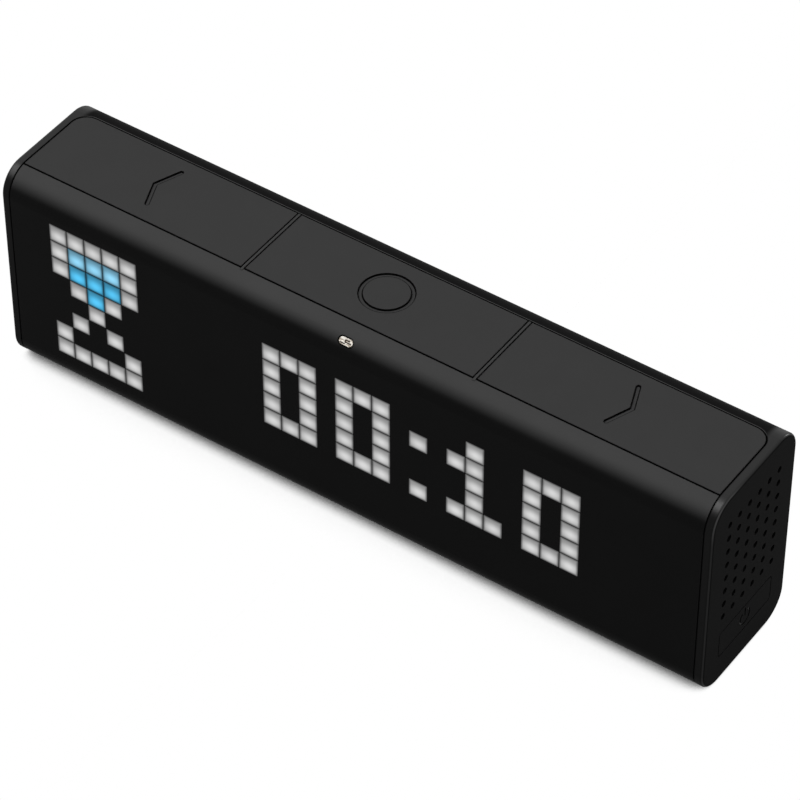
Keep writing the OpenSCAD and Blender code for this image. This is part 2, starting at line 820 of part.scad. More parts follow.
// An engraved arrow whose point lies on (x, 0) and whose two mitred arms open towards side
module arrow_mark(x, side) {
    l = norm([arrow_reach, arrow_half]);
    translate([x, 0, 0]) rotate(side > 0 ? 0 : 180) for (sy = [0, 1]) mirror([0, sy, 0]) {
        intersection() {
            rotate(atan2(arrow_half, arrow_reach)) span_x(-mark_w, l) for (sx = [0, 1])
                mirror([sx, 0]) groove_half();
            block([-2 * mark_w, -slip, -2 * mark_depth], [l, l, 2 * eps]);
        }
        rotate(atan2(arrow_half, arrow_reach)) translate([l, 0, 0])
            rotate(-90) rotate_extrude(angle = 180) groove_half();
    }
}

module left_key() color("#2b2b2d")
    top_key(-inner_x + seam, -rib_x - key_edge) arrow_mark(-arrow_tip_x, 1);

module action_key() color("#2b2b2d")
    top_key(-rib_x + key_edge, rib_x - key_edge)
        rotate_extrude() translate([ring_r, 0]) for (sx = [0, 1]) mirror([sx, 0]) groove_half();

module right_key() color("#2b2b2d")
    top_key(rib_x + key_edge, inner_x - seam) arrow_mark(arrow_tip_x, -1);

// Plunger of a switch under a top key
module key_plunger(x) color("#b9b6ae")
    translate([x, 0, 0]) shaft_z(switch_z1 - plunger_sunk, plunger_z1, plunger_r);

module left_plunger() key_plunger(key_x[0]);
module action_plunger() key_plunger(key_x[1]);
module right_plunger() key_plunger(key_x[2]);

// A push switch that stands on z = 0, with the well of its plunger
module push_switch(travel) difference() {
    half = switch_side / 2;
    block([-half, -half, 0], [half, half, switch_h]);
    shaft_z(switch_h - plunger_sunk - travel - hole_play, switch_h + eps, plunger_r + running);
}

module key_switches() color("#3a3a3c")
    for (x = key_x) translate([x, 0, switch_z0]) push_switch(key_travel);

// Shelf under the keys with a guide for each key pin, screwed to the columns at the back
module key_carrier() color("#4a4b4d") difference() {
    union() {
        block([-carrier_half_w, carrier_y0, carrier_z0], [carrier_half_w, carrier_y1, carrier_z1]);
        block([-carrier_half_w, carrier_y0, carrier_z0 - carrier_rib_h],
              [carrier_half_w, carrier_y0 + carrier_rib_t, carrier_z0 + eps]);
        at_guides() shaft_z(carrier_z0, switch_z1, guide_r + running + guide_wall);
        at_stakes() shaft_z(carrier_z0, switch_z0 + stake_h, stake_r);
    }
    at_guides() shaft_z(carrier_z0 - eps, switch_z1 + eps, guide_r + running);
    for (x = column_x) translate([x, column_y, 0])
        shaft_z(carrier_z0 - eps, carrier_z1 + eps, shank_r + hole_play);
    block([key_plug_x - plug_half - slip, key_plug_y - connector_h / 2 - slip, carrier_z0 - eps],
          [key_plug_x + plug_half + slip, key_plug_y + connector_h / 2 + slip, carrier_z1 + eps]);
}

// Places of the guide pins of all three keys
module at_guides() {
    for (x = key_x, sx = [-1, 1]) translate([x + sx * guide_x, guide_y, 0]) children();
}

// Places of the stakes that hold the switch board
module at_stakes() {
    for (x = [-rib_x, rib_x], y = [-1, 1] * (switch_board_half - stake_r - stake_edge))
        translate([x, y, 0]) children();
}

module carrier_screws() color("#8f9296")
    for (x = column_x) translate([x, column_y, carrier_z1]) pan_screw(carrier_t + column_hole - screw_short);

// Narrow board with the three key switches
module switch_board() color("#15412c") difference() {
    half = outer_key_x + switch_side;
    block([-half, -switch_board_half, carrier_z1], [half, switch_board_half, switch_z0]);
    at_stakes() shaft_z(carrier_z1 - eps, switch_z0 + eps, stake_r + slip);
}

// A key in the right end wall: plate, flange behind the wall and a post for its switch
module side_key(w, y, flange_low, flange_high, post_y) {
    difference() {
        union() {
            span_x(inner_x - slip, half_w)
                side_field(w - 2 * seam, side_key_h - 2 * seam, y, side_key_r - seam);
            intersection() {
                span_x(flange_x1 - eps, half_w - eps)
                    side_field(w - 2 * seam, side_key_h - 2 * seam, y, side_key_r - seam);
                block([flange_x0, flange_low, 0], [half_w, flange_high, z1]);
            }
            block([flange_x0, flange_low, side_z - side_key_h / 2 - side_lip],
                  [flange_x1, flange_high, side_z + side_key_h / 2 + side_lip]);
            translate([0, post_y, side_z]) shaft_x(side_plunger_x, flange_x0 + eps, plunger_r);
        }
        span_x(half_w - sign_depth, half_w + eps) translate([y, side_z]) children();
    }
}

module power_key() color("#1b1b1c")
    side_key(side_key_w, 0, flange_y0, side_key_w / 2 + side_lip, power_switch_y) power_sign();

// A broken ring with a bar through the break
module power_sign() {
    break_half = 35;
    bar_low = 0.6;
    outer = power_sign_r + sign_w / 2;
    difference() {
        circle(outer);
        circle(outer - sign_w);
        polygon([[0, 0], 2 * outer * [sin(break_half), cos(break_half)], [0, 3 * outer],
                 2 * outer * [-sin(break_half), cos(break_half)]]);
    }
    stroke_between([0, bar_low], [0, power_sign_r + sign_w], sign_w);
}

module power_plunger() color("#b9b6ae") side_plunger(power_switch_y);

// Plunger of a switch behind a side key
module side_plunger(y)
    translate([0, y, side_z]) shaft_x(side_switch_x1 - plunger_sunk, side_plunger_x, plunger_r);

module power_switch() color("#3a3a3c") side_switch(power_switch_y);

// A push switch on a side board, facing the end wall
module side_switch(y)
    translate([side_switch_x0, y, side_z]) rotate([0, 90, 0]) push_switch(side_travel);

module power_board() color("#15412c") side_board();

// Board behind the side keys, screwed to the bosses of the end wall
module side_board() difference() {
    intersection() {
        block([side_board_x0, flange_y0, side_z - side_boss_dz - boss_r],
              [side_switch_x0, back_y, side_z + side_boss_dz + boss_r]);
        span_x(side_board_x0 - eps, side_switch_x0 + eps) body_section(wall + side_board_gap);
    }
    at_side_bosses() shaft_x(side_board_x0 - eps, side_switch_x0 + eps, shank_r + hole_play);
}

// Two keys share the field in the left end wall, the front one raises the volume
module volume_up_key() color("#1b1b1c") mirror([1, 0, 0])
    side_key(half_key_w + seam, -half_key_w / 2, flange_y0, -seam, volume_switch_y[0]) {
        stroke_between([-sign_half, 0], [sign_half, 0], sign_w);
        stroke_between([0, -sign_half], [0, sign_half], sign_w);
    }

module volume_down_key() color("#1b1b1c") mirror([1, 0, 0])
    side_key(half_key_w + seam, half_key_w / 2, seam, side_key_w / 2 + side_lip, volume_switch_y[1])
        stroke_between([-sign_half, 0], [sign_half, 0], sign_w);

module volume_up_plunger() color("#b9b6ae") mirror([1, 0, 0]) side_plunger(volume_switch_y[0]);
module volume_down_plunger() color("#b9b6ae") mirror([1, 0, 0]) side_plunger(volume_switch_y[1]);

module volume_switches() color("#3a3a3c") mirror([1, 0, 0])
    for (y = volume_switch_y) side_switch(y);

module volume_board() color("#15412c") mirror([1, 0, 0]) side_board();

module side_board_screws() color("#8f9296") both_ends()
    at_side_bosses() translate([side_board_x0, 0, 0]) rotate([0, -90, 0])
        pan_screw(inner_x - eps - side_board_x0 - screw_short);

// Board on the floor that carries the processor and the USB inlet
module main_board() color("#15412c") difference() {
    block([-main_board_l / 2, main_y0, main_z0], [main_board_l / 2, main_y1, main_z1]);
    for (sx = [-1, 1], y = main_screw_y) translate([sx * main_screw_x, y, 0])
        shaft_z(main_z0 - eps, main_z1 + eps, shank_r + hole_play);
}

module main_board_screws() color("#8f9296")
    for (sx = [-1, 1], y = main_screw_y) translate([sx * main_screw_x, y, main_z1])
        pan_screw(board_t + standoff_h - eps - screw_short);

// A flat part of the given size on the main board, centred across it
module chip(x, size) translate([x, key_plug_y, main_z1])
    block([-size[0] / 2, -size[1] / 2, 0], [size[0] / 2, size[1] / 2, size[2]]);

module processor() color("#1d1d1f") chip(processor_x, [processor_side, processor_side, processor_h]);

// Radio on its own small board, under a metal can
module wireless_module() color("#a9abad") {
    chip(radio_x, radio_board);
    translate([0, 0, radio_board[2]]) chip(radio_can_x, radio_can);
}

// Bobbin with a cheek at each end
module power_coil() color("#2a2a2c") translate([coil_x, key_plug_y + coil_back, main_z1]) {
    shaft_z(0, coil_cheek, coil_r);
    shaft_z(coil_cheek, coil_h - coil_cheek, coil_core_r);
    shaft_z(coil_h - coil_cheek, coil_h, coil_r);
}

module capacitors() color("#6d7075") for (x = capacitor_x)
    translate([x, key_plug_y + capacitor_back, main_z1]) shaft_z(0, capacitor_h, capacitor_r);

// Sockets at both ends of the two ribbons
module board_connectors() color("#d8d3c4") {
    half_h = connector_h / 2;
    translate([display_plug_x, 0, 0]) {
        block([-plug_half, board_y1, display_plug_z],
              [plug_half, board_y1 + connector_t, display_plug_z + connector_h]);
        block([-plug_half, display_plug_y, main_z1],
              [plug_half, display_plug_y + connector_h, main_z1 + connector_t]);
    }
    translate([key_plug_x, key_plug_y, 0]) {
        block([-plug_half, -half_h, carrier_z0], [plug_half, half_h, carrier_z1]);
        block([-plug_half, -half_h, main_z1], [plug_half, half_h, main_z1 + connector_h]);
    }
}

// Short ribbon from the LED board round one bend to the main board
module display_ribbon() color("#d9d6cc")
    translate([display_plug_x, display_plug_y, display_plug_z]) span_x(-ribbon_w / 2, ribbon_w / 2)
        intersection() {
            difference() {
                circle(ribbon_bend + ribbon_t / 2);
                circle(ribbon_bend - ribbon_t / 2);
            }
            translate([-2 * ribbon_bend, -2 * ribbon_bend]) square(2 * ribbon_bend);
        }

// Straight ribbon from the switch board down to the main board
module key_ribbon() color("#d9d6cc") translate([key_plug_x, key_plug_y, 0])
    block([-ribbon_w / 2, -ribbon_t / 2, main_z1 + connector_h], [ribbon_w / 2, ribbon_t / 2, carrier_z0]);

// Outline of the USB socket in X and Z, with its two lower corners cut
module usb_outline(inset) {
    w = usb_w / 2 - inset;
    h = usb_h / 2 - inset;
    cut = 0.4 * usb_h;
    translate([0, inlet_z])
        polygon([[-w, h], [w, h], [w, -h + cut], [w - cut, -h], [-w + cut, -h], [-w, -h + cut]]);
}

module usb_shell() color("#b4b6b8") difference() {
    span_y(usb_y1 - usb_l, usb_y1) usb_outline(0);
    span_y(usb_y1 - usb_l + usb_shell_t, usb_y1 + eps) usb_outline(usb_shell_t);
}

// Moulding inside the socket, with the tongue that carries the contacts
module usb_insert() color("#171717") {
    back = usb_y1 - usb_l + usb_shell_t;
    span_y(back, back + usb_root) usb_outline(usb_shell_t);
    block([-usb_w / 4, back, inlet_z], [usb_w / 4, usb_y1 - tongue_short, inlet_z + tongue_t]);
}

// Racetrack outline of a speaker's cone, grown by grow
module cone_outline(grow) {
    w = cone_w + 2 * grow;
    translate([speaker_y, speaker_z]) rotate(90)
        translate([-(cone_h - cone_w) / 2, 0]) stroke(cone_h - cone_w, w);
}

// Flange and open basket of the right speaker
module speaker_frame() color("#2d2e30") {
    difference() {
        span_x(basket_x, flange_front_x)
            translate([speaker_y, speaker_z]) rounded_rect(speaker_w, speaker_h, speaker_r);
        span_x(basket_x - eps, flange_front_x + eps) cone_outline(0);
        at_locators() shaft_x(basket_x - eps, flange_front_x + eps, locator_r + slip);
    }
    difference() {
        span_x(basket_x - basket_d, basket_x) cone_outline(basket_wall);
        span_x(basket_x - basket_d + basket_wall, basket_x + eps) cone_outline(0);
        translate([0, speaker_y, speaker_z])
            shaft_x(basket_x - basket_d - eps, basket_x, magnet_r - magnet_seat);
    }
}

// Paper cone with a round dust cap
module speaker_cone() color("#38393b") {
    x = flange_front_x - cone_sunk;
    span_x(x - cone_t, x) cone_outline(-slip);
    translate([x, speaker_y, speaker_z]) intersection() {
        translate([cap_h - cap_ball_r, 0, 0]) sphere(cap_ball_r);
        shaft_x(0, cap_h + eps, cap_r + eps);
    }
}

module speaker_magnet() color("#77797c") translate([0, speaker_y, speaker_z])
    shaft_x(basket_x - basket_d - magnet_h, basket_x - basket_d, magnet_r);

// Foam ring between a speaker and its end wall
module speaker_gasket() color("#3f3f41") difference() {
    span_x(flange_front_x, inner_x)
        translate([speaker_y, speaker_z]) rounded_rect(speaker_w, speaker_h, speaker_r);
    span_x(flange_front_x - eps, inner_x + eps) cone_outline(0);
    at_locators() shaft_x(flange_front_x - eps, inner_x + eps, locator_r + slip);
}

module right_speaker_frame() speaker_frame();
module right_speaker_cone() speaker_cone();
module right_speaker_magnet() speaker_magnet();
module right_speaker_gasket() speaker_gasket();
module left_speaker_frame() mirror([1, 0, 0]) speaker_frame();
module left_speaker_cone() mirror([1, 0, 0]) speaker_cone();
module left_speaker_magnet() mirror([1, 0, 0]) speaker_magnet();
module left_speaker_gasket() mirror([1, 0, 0]) speaker_gasket();

// Two wires, one above the other, from a face at x1 round a bend down to the main board
module wire_pair(x1, y, z) for (i = [0, 1]) {
    x = wire_x - i * wire_pitch;
    top = z + i * wire_pitch;
    translate([0, y, top]) shaft_x(x + wire_bend, x1, wire_r);
    translate([x + wire_bend, y, top - wire_bend]) rotate([90, 0, 0]) rotate(90)
        rotate_extrude(angle = 90) translate([wire_bend, 0]) circle(wire_r);
    translate([x, y, 0]) shaft_z(main_z1, top - wire_bend, wire_r);
}

module speaker_wires() color("#8c2f2a") both_ends()
    wire_pair(basket_x - basket_d, back_lane_y, speaker_wire_z);

module side_board_wires() color("#c9c4b6") both_ends() wire_pair(side_board_x0, front_lane_y, side_z);

rear_housing();
front_panel();
rubber_feet();
panel_screws();
diffuser_sheet();
pixel_baffle();
led_board();
display_leds();
led_drivers();
display_screws();
light_sensor();
sensor_track();
sensor_leads();
left_key();
action_key();
right_key();
left_plunger();
action_plunger();
right_plunger();
key_carrier();
carrier_screws();
switch_board();
key_switches();
power_key();
power_plunger();
power_switch();
power_board();
volume_up_key();
volume_down_key();
volume_up_plunger();
volume_down_plunger();
volume_switches();
volume_board();
side_board_screws();
main_board();
main_board_screws();
processor();
wireless_module();
power_coil();
capacitors();
board_connectors();
usb_shell();
usb_insert();
display_ribbon();
key_ribbon();
left_speaker_frame();
left_speaker_cone();
left_speaker_magnet();
left_speaker_gasket();
right_speaker_frame();
right_speaker_cone();
right_speaker_magnet();
right_speaker_gasket();
speaker_wires();
side_board_wires();
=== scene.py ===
import math

import bmesh
import bpy
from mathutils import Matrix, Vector


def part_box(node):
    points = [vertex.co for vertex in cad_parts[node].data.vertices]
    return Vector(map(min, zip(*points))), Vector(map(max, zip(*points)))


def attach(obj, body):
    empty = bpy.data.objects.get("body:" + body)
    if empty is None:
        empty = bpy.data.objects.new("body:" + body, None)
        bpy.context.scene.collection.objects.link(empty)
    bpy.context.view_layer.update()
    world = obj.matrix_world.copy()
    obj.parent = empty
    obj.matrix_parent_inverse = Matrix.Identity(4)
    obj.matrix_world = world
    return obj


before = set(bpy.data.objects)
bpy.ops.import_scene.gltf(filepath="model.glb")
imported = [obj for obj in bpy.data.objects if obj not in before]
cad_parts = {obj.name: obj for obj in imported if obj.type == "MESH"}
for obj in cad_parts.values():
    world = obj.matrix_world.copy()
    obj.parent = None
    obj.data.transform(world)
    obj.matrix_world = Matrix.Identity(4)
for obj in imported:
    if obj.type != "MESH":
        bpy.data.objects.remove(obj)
bpy.context.view_layer.update()


# Rear housing: back, floor, both end walls and the back edge of the top, moulded as one
# shell of black ABS. The mould is spark-eroded, which leaves a fine even grain that dulls
# the gloss, and handling polishes the grain a little along the edges.
class Wire:
    """An output of a shader node. Arithmetic on wires adds Math nodes, node() any other node."""

    def __init__(self, socket):
        self.socket = socket

    def node(self, kind, settings, inputs):
        """Adds a node to this wire's tree: its settings first, then its inputs, set or linked."""
        tree = self.socket.id_data
        made = tree.nodes.new(kind)
        for name, value in settings.items():
            setattr(made, name, value)
        for name, value in inputs.items():
            target = next(s for s in made.inputs if name in (s.identifier, s.name))
            if isinstance(value, Wire):
                tree.links.new(value.socket, target)
            else:
                target.default_value = value
        return Wire(made.outputs[0]) if made.outputs else None

    def __getitem__(self, name):
        """Another output of the same node."""
        outputs = self.socket.node.outputs
        return Wire(next(s for s in outputs if name in (s.identifier, s.name)))

    def math(self, operation, first, second=0.0):
        inputs = {"Value": first, "Value_001": second}
        return self.node("ShaderNodeMath", {"operation": operation}, inputs)

    def __add__(self, other):
        return self.math("ADD", self, other)

    def __radd__(self, other):
        return self.math("ADD", other, self)

    def __sub__(self, other):
        return self.math("SUBTRACT", self, other)

    def __rsub__(self, other):
        return self.math("SUBTRACT", other, self)

    def __mul__(self, other):
        return self.math("MULTIPLY", self, other)

    def __rmul__(self, other):
        return self.math("MULTIPLY", other, self)

    def __truediv__(self, other):
        return self.math("DIVIDE", self, other)

    def __abs__(self):
        return self.math("ABSOLUTE", self)

    def root(self):
        return self.math("SQRT", self)

    def most(self, other):
        return self.math("MAXIMUM", self, other)

    def fract(self):
        return self.math("FRACT", self)

    def step(self, low, high):
        """A smooth step from 0 at low to 1 at high."""
        ease = {"interpolation_type": "SMOOTHSTEP"}
        inputs = {"Value": self, "From Min": low, "From Max": high}
        return self.node("ShaderNodeMapRange", ease, inputs)

    def mix(self, low, high):
        """The colour low where this wire is 0, high where it is 1."""
        inputs = {"Factor_Float": self, "A_Color": low, "B_Color": high}
        return self.node("ShaderNodeMix", {"data_type": "RGBA"}, inputs)["Result_Color"]

    def split(self):
        """The parts of this vector, to be taken as X, Y and Z."""
        return self.node("ShaderNodeSeparateXYZ", {}, {"Vector": self})

    def noise(self, grain, detail=2.0):
        """Noise over this wire's coordinates, with lumps of about the given size in metres."""
        inputs = {"Vector": self, "Scale": 1.0 / grain, "Detail": detail}
        return self.node("ShaderNodeTexNoise", {}, inputs)


def finish(name):
    """A new material and the wire of its object's own coordinates, in metres."""
    material = bpy.data.materials.new(name)
    material.use_nodes = True
    material.node_tree.nodes.clear()
    coordinates = material.node_tree.nodes.new("ShaderNodeTexCoord")
    return material, Wire(coordinates.outputs["Object"])


def cover(place, sockets):
    """The shader of a finish, with the given values and links on its sockets."""
    shader = place.node("ShaderNodeBsdfPrincipled", {}, sockets)
    place.node("ShaderNodeOutputMaterial", {}, {"Surface": shader})


def grey(level):
    return (level, level, level, 1.0)


def relief(place, height, depth, edge):
    """The normal of a surface with that relief, its sharp edges broken by a small radius."""
    broken = place.node("ShaderNodeBevel", {"samples": 6}, {"Radius": edge})
    bump = {"Strength": 1.0, "Distance": depth, "Height": height, "Normal": broken}
    return place.node("ShaderNodeBump", {}, bump)


def moulded(name, tones, rough, grain, depth, wear_and_painted_light=None, constants=None):
    """A moulding of one plastic: its two tones, its range of roughness, the size and depth of
    its grain, a function that changes it where it is worn or painted with light or shade, and the
    sockets that are even."""
    material, place = finish(name)
    fine = place.noise(grain, 3.0)
    cloud = place.noise(40 * grain)
    sockets = {
        "Base Color": (0.6 * cloud + 0.4 * fine).mix(*tones),
        "Roughness": rough[0] + (rough[1] - rough[0]) * (0.5 * cloud + 0.5 * fine),
        "Normal": relief(place, fine, depth, edge=0.00006),
    }
    if wear_and_painted_light:
        wear_and_painted_light(place, sockets)
    cover(place, sockets | (constants or {}))
    return material


def dress(material, *nodes):
    """Gives the CAD nodes that finish."""
    for node in nodes:
        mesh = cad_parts[node].data
        mesh.materials.clear()
        mesh.materials.append(material)


def sharp(place, radius):
    """1 along the sharp edges of a piece, fading to 0 at that distance from them."""
    broken = place.node("ShaderNodeBevel", {"samples": 8}, {"Radius": radius})
    plain = place.node("ShaderNodeNewGeometry", {}, {})["Normal"]
    both = {"Vector": broken, "Vector_001": plain}
    along = place.node("ShaderNodeVectorMath", {"operation": "DOT_PRODUCT"}, both)["Value"]
    return (1.0 - along).step(0.005, 0.06)


# Where the rims of the ends set in along X, and where the front top corners, by which the clock
# is held, set in upwards and towards the front
rim_x = (0.0960, 0.0978)
held_z = (0.050, 0.060)
held_front = (0.004, 0.014)
# Polish of the flat rims on top, of the rims' front faces, and of the roundings away from the corners
polish_top = 0.5
polish_front = 0.07
polish_away = 0.25
# Painted shade, near black, for the walls and edges of seams, gaps and engraved lines
painted_gap_shade = grey(0.002)


def polish_and_seam_shade(place, sockets):
    """Polishes the rims of the ends, most at the front corners where they are held, and the edges
    of the top, and paints shade into the seams, where it takes the polish off."""
    turned = place["Normal"].split()
    spot = place.split()
    up = turned["Z"].step(0.55, 1.0)
    forwards = 0.0 - turned["Y"]
    outwards = turned["X"] * turned["X"]
    # 1 where the surface is turned halfway from an end to a side
    halfway = 4.0 * outwards * (1.0 - outwards)
    ends = abs(spot["X"]).step(*rim_x)
    edge = sharp(place, radius=0.0004)
    # Painted shade: the seam walls that face the front, and the sharp ends' edges not facing outwards,
    # are coloured near black
    seam_wall_painted_shade = (1.0 - ends) * forwards.step(0.3, 0.7)
    seam_edge_painted_shade = ends * edge * (1.0 - outwards.step(0.2, 0.6))
    corner = spot["Z"].step(*held_z) * (0.0 - spot["Y"]).step(*held_front)
    rounding = (polish_away + (1.0 - polish_away) * corner) * halfway.step(0.5, 1.0)
    flat_rim = up * (polish_top * ends).most((1.0 - ends) * edge)
    front_rim = polish_front * ends * forwards.step(0.6, 1.0)
    polish = flat_rim + (1.0 - up) * (rounding + front_rim)
    sockets["Coat Weight"] = polish * (1.0 - seam_edge_painted_shade)
    sockets["Base Color"] = seam_wall_painted_shade.most(seam_edge_painted_shade).mix(sockets["Base Color"], painted_gap_shade)


matt = {"Specular IOR Level": 0.004, "Coat Roughness": 0.30}
housing_tones = (grey(0.006), grey(0.009))
housing_rough = (0.40, 0.48)
housing_black = moulded(
    "housing_black",
    housing_tones,
    housing_rough,
    grain=0.0003,
    depth=0.000010,
    wear_and_painted_light=polish_and_seam_shade,
    constants=matt,
)
dress(housing_black, "rear_housing")


# Front panel: a curved cover of smoked polycarbonate with a satin hard coat, black until
# the pixels behind it are lit. Above the display its upward-facing bend is coloured lighter grey,
# a painted highlight that fades out downwards. Its tabs are screwed to the floor under the front feet.
bend_highlight_z = (0.0563, 0.0598)
bend_highlight_tones = (grey(0.045), grey(0.052))
smoke_tones = (grey(0.005), grey(0.007))
panel_rough = 0.42
panel_gloss = 0.014
panel_smoked, panel_place = finish("panel_smoked")
# Painted highlight: where the bend faces up between these heights, away from sharp edges, it is
# coloured lighter grey
painted_bend_highlight = panel_place.split()["Z"].step(*bend_highlight_z) * panel_place["Normal"].split()["Z"].step(0.2, 0.5)
painted_bend_highlight_mask = painted_bend_highlight * (1.0 - sharp(panel_place, radius=0.0002))
panel_grain = panel_place.noise(0.0004, 3.0)
panel_cloud = panel_place.noise(0.016)
cover(
    panel_place,
    {
        "Base Color": painted_bend_highlight_mask.mix(panel_cloud.mix(*smoke_tones), panel_cloud.mix(*bend_highlight_tones)),
        "Roughness": panel_rough + 0.04 * panel_cloud + 0.02 * panel_grain,
        "Normal": relief(panel_place, panel_grain, depth=0.000005, edge=0.00006),
        "Specular IOR Level": panel_gloss,
    },
)
dress(panel_smoked, "front_panel")


# Lit pixels: where an LED is on, its square of the diffuser shines through the smoked cover,
# brightest over the LED and falling off to the dark walls of its well. Each tile is that lit
# square of the cover's face, and LEDs differ a little in brightness.
columns = 37
rows = 8
well_low, well_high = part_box("pixel_baffle")
pitch = 0.00525
# The film lies behind the cover, so seen from the right and above its light leaves the face
# a little to the right of the wells and above them
shown_right = 0.00043
shown_up = 0.00025
first_x = (well_low.x + well_high.x - (columns - 1) * pitch) / 2 + shown_right
first_z = (well_low.z + well_high.z + (rows - 1) * pitch) / 2 + shown_up
panel_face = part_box("front_panel")[0].y
tile_side = 0.0051
tile_corner = 0.0003
tile_rise = 0.00003
tile_sunk = 0.00003
hourglass = ("XXXXX", "X...X", "X...X", ".X.X.", "..X..", ".X.X.", "X...X", "XXXXX")
sand_top = (".....", ".XXX.")
sand_heap = (".....", ".....", ".XXX.", "..X..")
zero = ("XXX", "X.X", "X.X", "X.X", "XXX")
one = (".X.", "XX.", ".X.", ".X.", "XXX")
colon = (".", "X", ".", ".", "X")


def rounded_square(side, corner):
    """Points round a square with round corners, in the tile's own X and Z."""
    steps = 4
    reach = (side / 2 - corner) * math.sqrt(2)
    points = []
    for quarter in range(4):
        middle = math.radians(90 * quarter + 45)
        for i in range(steps + 1):
            turn = math.radians(90 * (quarter + i / steps))
            u = reach * math.cos(middle) + corner * math.cos(turn)
            v = reach * math.sin(middle) + corner * math.sin(turn)
            points.append((u, v))
    return points


def lit_tiles(name, figures, material):
    """One piece with a thin closed tile on the panel for every lit pixel of the figures,
    each of which is (its left column, its top row, its rows)."""
    mesh = bmesh.new()
    outline = rounded_square(tile_side, tile_corner)
    for left, top, figure in figures:
        for j, line in enumerate(figure):
            for i, mark in enumerate(line):
                if mark != "X":
                    continue
                x = first_x + (left + i) * pitch
                z = first_z - (top + j) * pitch
                front = [mesh.verts.new((x + u, panel_face - tile_rise, z + v)) for u, v in outline]
                back = [mesh.verts.new((x + u, panel_face + tile_sunk, z + v)) for u, v in outline]
                mesh.faces.new(front)
                mesh.faces.new(back[::-1])
                for a in range(len(outline)):
                    b = (a + 1) % len(outline)
                    mesh.faces.new((front[b], front[a], back[a], back[b]))
    bmesh.ops.recalc_face_normals(mesh, faces=mesh.faces)
    data = bpy.data.meshes.new(name)
    mesh.to_mesh(data)
    mesh.free()
    data.materials.append(material)
    piece = bpy.data.objects.new(name, data)
    bpy.context.scene.collection.objects.link(piece)
    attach(piece, "housing")


# Glow of a pixel, in shares of the pitch: where its bright spot lies, how flat the spot is, how far
# and by how much it fades, and the range over which the walls of the well darken it
spot_right = 0.025
spot_down = 0.12
spot_flat = 1.5
spot_reach = 0.75
spot_fade = 0.58
wall_range = (0.34, 0.53)
wall_shade = 0.95


def lit(name, colour):
    """The finish of lit tiles: the panel's own surface, with light of that colour shining through."""
    material, place = finish(name)
    where = place.split()
    across = (where["X"] - (first_x - pitch / 2)) / pitch
    down = (where["Z"] - (first_z + pitch / 2)) / -pitch
    u = across.fract() - 0.5
    v = down.fract() - 0.5
    pixel = {"X": across - across.fract(), "Y": down - down.fract()}
    cell = place.node("ShaderNodeCombineXYZ", {}, pixel)
    led = place.node("ShaderNodeTexWhiteNoise", {}, {"Vector": cell})
    right_of = u - spot_right
    under = spot_flat * (v - spot_down)
    from_spot = (right_of * right_of + under * under).root()
    spot = 1.0 - spot_fade * from_spot.step(0.0, spot_reach)
    well = 1.0 - wall_shade * abs(u).most(abs(v)).step(*wall_range)
    haze = place.noise(0.0008)
    glow = spot * well * (0.93 + 0.10 * led) * (0.97 + 0.06 * haze)
    cover(
        place,
        {
            "Base Color": haze.mix(*smoke_tones),
            "Roughness": panel_rough + 0.06 * haze,
            "Emission Color": glow.mix(grey(0.0), colour),
            "Emission Strength": 1.0,
            "Specular IOR Level": panel_gloss,
        },
    )
    return material


pixel_white = lit("pixel_white", grey(0.69))
pixel_pale_blue = lit("pixel_pale_blue", (0.31, 0.73, 1.0, 1.0))
pixel_blue = lit("pixel_blue", (0.10, 0.61, 1.0, 1.0))
lit_tiles("hourglass_pixels", [(2, 0, hourglass)], pixel_white)
lit_tiles("sand_top_pixels", [(2, 0, sand_top)], pixel_pale_blue)
lit_tiles("sand_heap_pixels", [(2, 0, sand_heap)], pixel_blue)
digits = [(14, 1, zero), (18, 1, zero), (22, 1, colon), (24, 1, one), (28, 1, zero)]
lit_tiles("digit_pixels", digits, pixel_white)


# Top keys: three caps of dark grey ABS, flush with the top, with a finer grain than the housing.
# The arrows and the ring are engraved by the mould. Each cap slides with two guide pins in the
# key carrier.
def engraved(place, sockets):
    """Paints near black shade on the walls of the engraved lines and of the gaps, and along their
    edges.
    """
    up = place["Normal"].split()["Z"]
    # Painted shade: everything but the upward faces away from sharp edges is coloured near black
    plain = up.step(0.3, 0.8) * (1.0 - sharp(place, radius=0.00045))
    sockets["Base Color"] = plain.mix(painted_gap_shade, sockets["Base Color"])


key_black = moulded(
    "key_black",
    (grey(0.040), grey(0.046)),
    (0.42, 0.48),
    grain=0.00022,
    depth=0.000008,
    wear_and_painted_light=engraved,
    constants=matt,
)
dress(key_black, "left_key", "action_key", "right_key")


# Side keys: small caps in the end walls, moulded from the housing's plastic. Each has an engraved
# sign with a painted highlight, light grey on its floor, and a flange that holds it behind the wall.
side_key_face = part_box("power_key")[1].x
sign_depth = 0.00025
sign_glint_grey = grey(0.18)


def sign_glint_painted(place, sockets):
    """Colours the floor of the engraved sign light grey, a painted highlight for the glint of its
    edges.
    """
    out = abs(place.split()["X"])
    facing = abs(place["Normal"].split()["X"])
    below = (side_key_face - out) / sign_depth
    # Painted highlight: the floor of the sign, a little below the key's face, is coloured light grey
    painted_glint = below.step(0.4, 0.8) * (1.0 - below.step(1.2, 1.5)) * facing.step(0.5, 0.9)
    sockets["Base Color"] = painted_glint.mix(sockets["Base Color"], sign_glint_grey)


side_key_black = moulded(
    "side_key_black",
    housing_tones,
    housing_rough,
    grain=0.00022,
    depth=0.000008,
    wear_and_painted_light=sign_glint_painted,
    constants=matt,
)
dress(side_key_black, "power_key", "volume_up_key", "volume_down_key")


